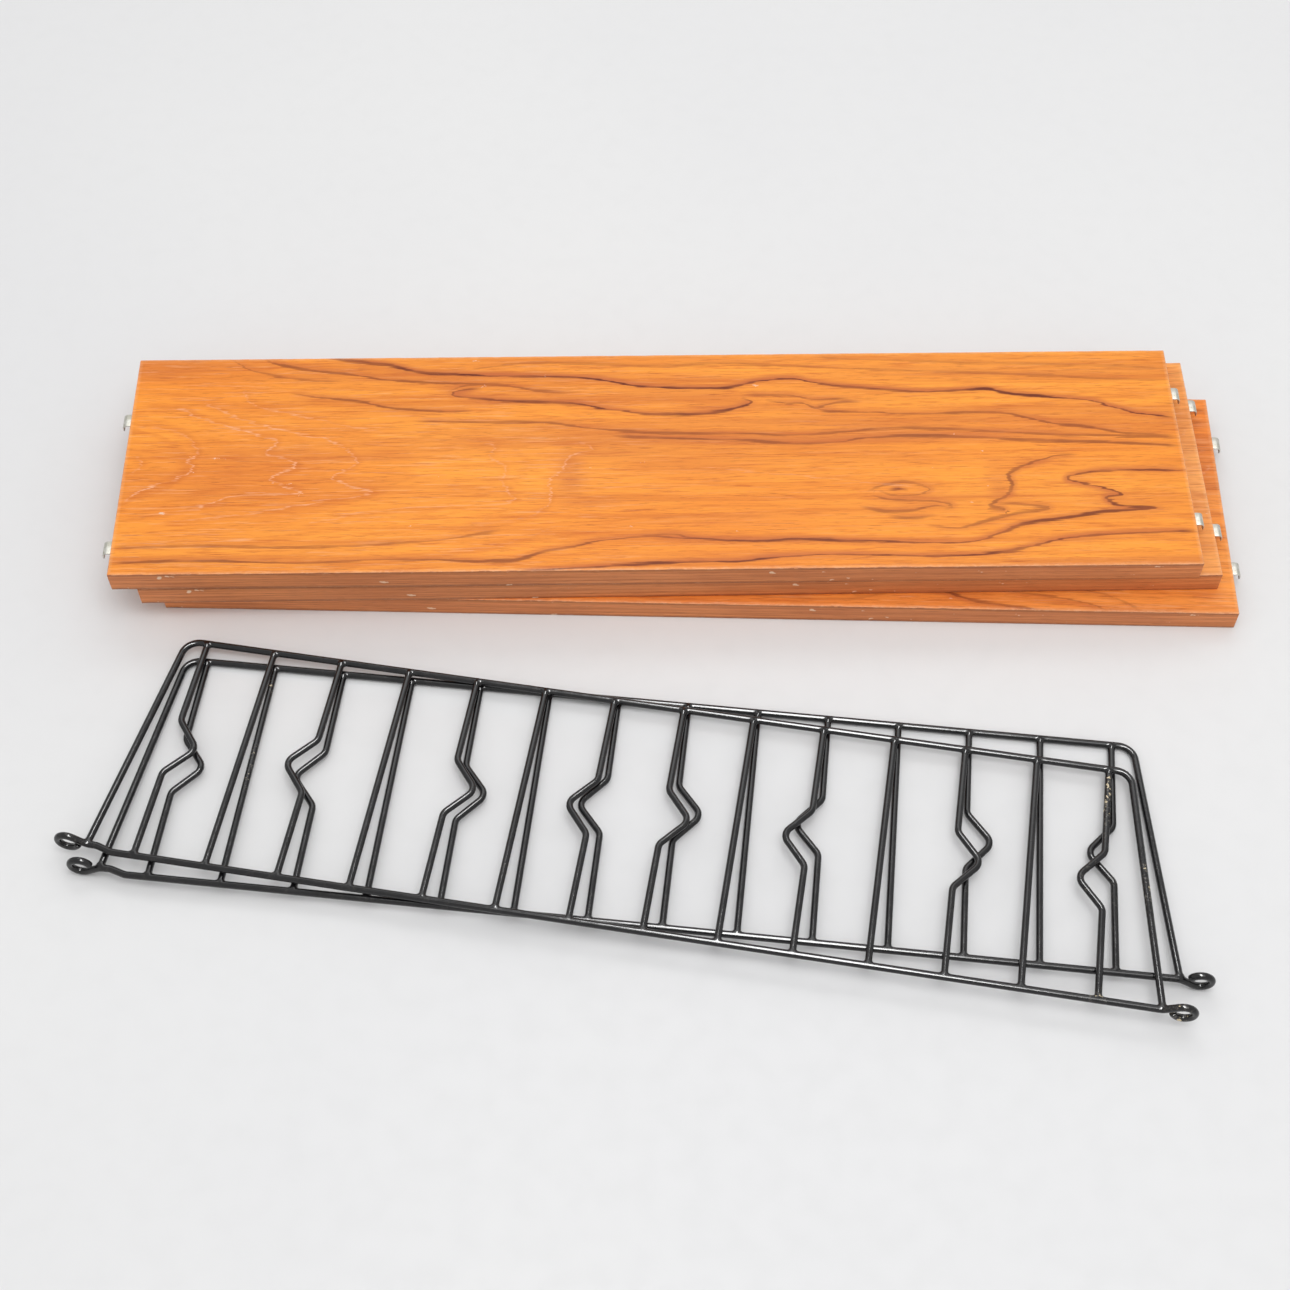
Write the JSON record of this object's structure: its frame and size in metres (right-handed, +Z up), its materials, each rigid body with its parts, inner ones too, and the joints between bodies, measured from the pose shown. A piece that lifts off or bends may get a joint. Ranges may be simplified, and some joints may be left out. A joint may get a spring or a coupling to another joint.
{
  "type": "ladder wall shelf kit",
  "caption": "Wall shelf taken down for storage: stacked wooden boards with end hooks beside a pair of black wire ladder side frames.",
  "frame": {"origin": "bottom centre of the bounding box of the kit as it lies, on the floor surface", "axes": "+X along the length of the top board, +Y from the frames towards the boards, +Z up"},
  "size_m": [0.8452, 0.541, 0.0546],
  "materials": {
    "teak_veneer": "worn satin oiled teak veneer",
    "teak_lipping": "darker fine-grained edge strip",
    "zinc_plated_steel": "dull zinc plating",
    "black_coating": "semi-gloss black plastic coating over steel wire, chipped in places"
  },
  "bodies": {
    "bottom_board": {"bottom_board_panel": "teak_veneer", "bottom_board_front_lipping": "teak_lipping", "bottom_board_rear_lipping": "teak_lipping", "bottom_board_clip_left_front": "zinc_plated_steel", "bottom_board_clip_left_rear": "zinc_plated_steel", "bottom_board_clip_right_front": "zinc_plated_steel", "bottom_board_clip_right_rear": "zinc_plated_steel"},
    "middle_board": {"middle_board_panel": "teak_veneer", "middle_board_front_lipping": "teak_lipping", "middle_board_rear_lipping": "teak_lipping", "middle_board_clip_left_front": "zinc_plated_steel", "middle_board_clip_left_rear": "zinc_plated_steel", "middle_board_clip_right_front": "zinc_plated_steel", "middle_board_clip_right_rear": "zinc_plated_steel"},
    "top_board": {"top_board_panel": "teak_veneer", "top_board_front_lipping": "teak_lipping", "top_board_rear_lipping": "teak_lipping", "top_board_clip_left_front": "zinc_plated_steel", "top_board_clip_left_rear": "zinc_plated_steel", "top_board_clip_right_front": "zinc_plated_steel", "top_board_clip_right_rear": "zinc_plated_steel"},
    "lower_frame": {"lower_frame_wall_wire": "black_coating", "lower_frame_front_wire": "black_coating", "lower_frame_rung_01": "black_coating", "lower_frame_rung_02": "black_coating", "lower_frame_rung_03": "black_coating", "lower_frame_rung_04": "black_coating", "lower_frame_rung_05": "black_coating", "lower_frame_rung_06": "black_coating", "lower_frame_rung_07": "black_coating", "lower_frame_rung_08": "black_coating", "lower_frame_rung_09": "black_coating", "lower_frame_rung_10": "black_coating", "lower_frame_rung_11": "black_coating", "lower_frame_rung_12": "black_coating", "lower_frame_rung_13": "black_coating", "lower_frame_rung_14": "black_coating"},
    "upper_frame": {"upper_frame_wall_wire": "black_coating", "upper_frame_front_wire": "black_coating", "upper_frame_rung_01": "black_coating", "upper_frame_rung_02": "black_coating", "upper_frame_rung_03": "black_coating", "upper_frame_rung_04": "black_coating", "upper_frame_rung_05": "black_coating", "upper_frame_rung_06": "black_coating", "upper_frame_rung_07": "black_coating", "upper_frame_rung_08": "black_coating", "upper_frame_rung_09": "black_coating", "upper_frame_rung_10": "black_coating", "upper_frame_rung_11": "black_coating", "upper_frame_rung_12": "black_coating", "upper_frame_rung_13": "black_coating", "upper_frame_rung_14": "black_coating"}
  },
  "joints": [
    {"name": "middle_board_lift", "type": "slide", "parent": "bottom_board", "child": "middle_board", "axis": [0, 0, 1], "range_m": [0, 0.1]},
    {"name": "top_board_lift", "type": "slide", "parent": "middle_board", "child": "top_board", "axis": [0, 0, 1], "range_m": [0, 0.1]},
    {"name": "lower_frame_lift", "type": "slide", "parent": "bottom_board", "child": "lower_frame", "axis": [0, 0, 1], "range_m": [0, 0.15]},
    {"name": "upper_frame_lift", "type": "slide", "parent": "lower_frame", "child": "upper_frame", "axis": [0, 0, 1], "range_m": [0, 0.15]}
  ]
}
